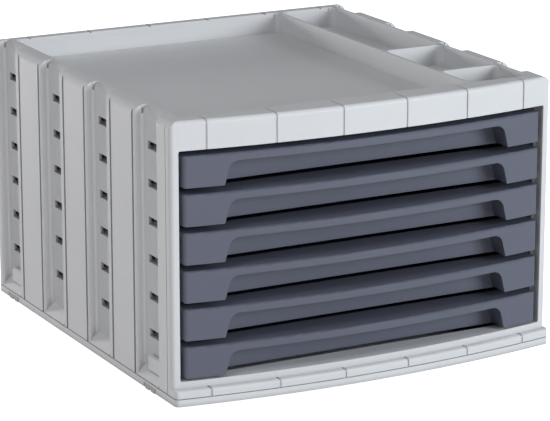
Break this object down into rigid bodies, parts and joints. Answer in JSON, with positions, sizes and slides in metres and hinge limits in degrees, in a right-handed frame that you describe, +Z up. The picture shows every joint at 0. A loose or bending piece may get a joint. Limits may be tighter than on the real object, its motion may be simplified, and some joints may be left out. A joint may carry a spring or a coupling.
{
  "type": "desktop drawer cabinet",
  "caption": "Pale desktop drawer cabinet with a bowed front, dark pull-out drawers with wide finger grips, ribbed sides and a desk tray with pen compartments on top.",
  "frame": {"origin": "centre of the footprint, on the surface that the cabinet stands on", "axes": "+Z up, -Y towards the bowed front that the drawers open through, +X to the right as seen from the front"},
  "size_m": [0.34, 0.367, 0.225],
  "materials": {
    "case_plastic": "satin",
    "drawer_plastic": "satin",
    "clip_plastic": "satin",
    "foot_rubber": "matte"
  },
  "bodies": {
    "case": {"base_plate": "case_plastic", "side_wall_left": "case_plastic", "side_wall_right": "case_plastic", "back_panel": "case_plastic", "front_frame": "case_plastic", "desk_tray": "case_plastic", "stacking_clip_front_left": "clip_plastic", "stacking_clip_front_right": "clip_plastic", "stacking_clip_back_left": "clip_plastic", "stacking_clip_back_right": "clip_plastic", "foot_front_left": "foot_rubber", "foot_front_right": "foot_rubber", "foot_back_left": "foot_rubber", "foot_back_right": "foot_rubber"},
    "drawer_1": {"drawer_1_tray": "drawer_plastic", "drawer_1_front": "drawer_plastic"},
    "drawer_2": {"drawer_2_tray": "drawer_plastic", "drawer_2_front": "drawer_plastic"},
    "drawer_3": {"drawer_3_tray": "drawer_plastic", "drawer_3_front": "drawer_plastic"},
    "drawer_4": {"drawer_4_tray": "drawer_plastic", "drawer_4_front": "drawer_plastic"},
    "drawer_5": {"drawer_5_tray": "drawer_plastic", "drawer_5_front": "drawer_plastic"},
    "drawer_6": {"drawer_6_tray": "drawer_plastic", "drawer_6_front": "drawer_plastic"}
  },
  "joints": [
    {"name": "drawer_1_slide", "type": "slide", "parent": "case", "child": "drawer_1", "axis": [0, -1, 0], "range_m": [0, 0.2597]},
    {"name": "drawer_2_slide", "type": "slide", "parent": "case", "child": "drawer_2", "axis": [0, -1, 0], "range_m": [0, 0.2597]},
    {"name": "drawer_3_slide", "type": "slide", "parent": "case", "child": "drawer_3", "axis": [0, -1, 0], "range_m": [0, 0.2597]},
    {"name": "drawer_4_slide", "type": "slide", "parent": "case", "child": "drawer_4", "axis": [0, -1, 0], "range_m": [0, 0.2597]},
    {"name": "drawer_5_slide", "type": "slide", "parent": "case", "child": "drawer_5", "axis": [0, -1, 0], "range_m": [0, 0.2597]},
    {"name": "drawer_6_slide", "type": "slide", "parent": "case", "child": "drawer_6", "axis": [0, -1, 0], "range_m": [0, 0.2597]}
  ]
}
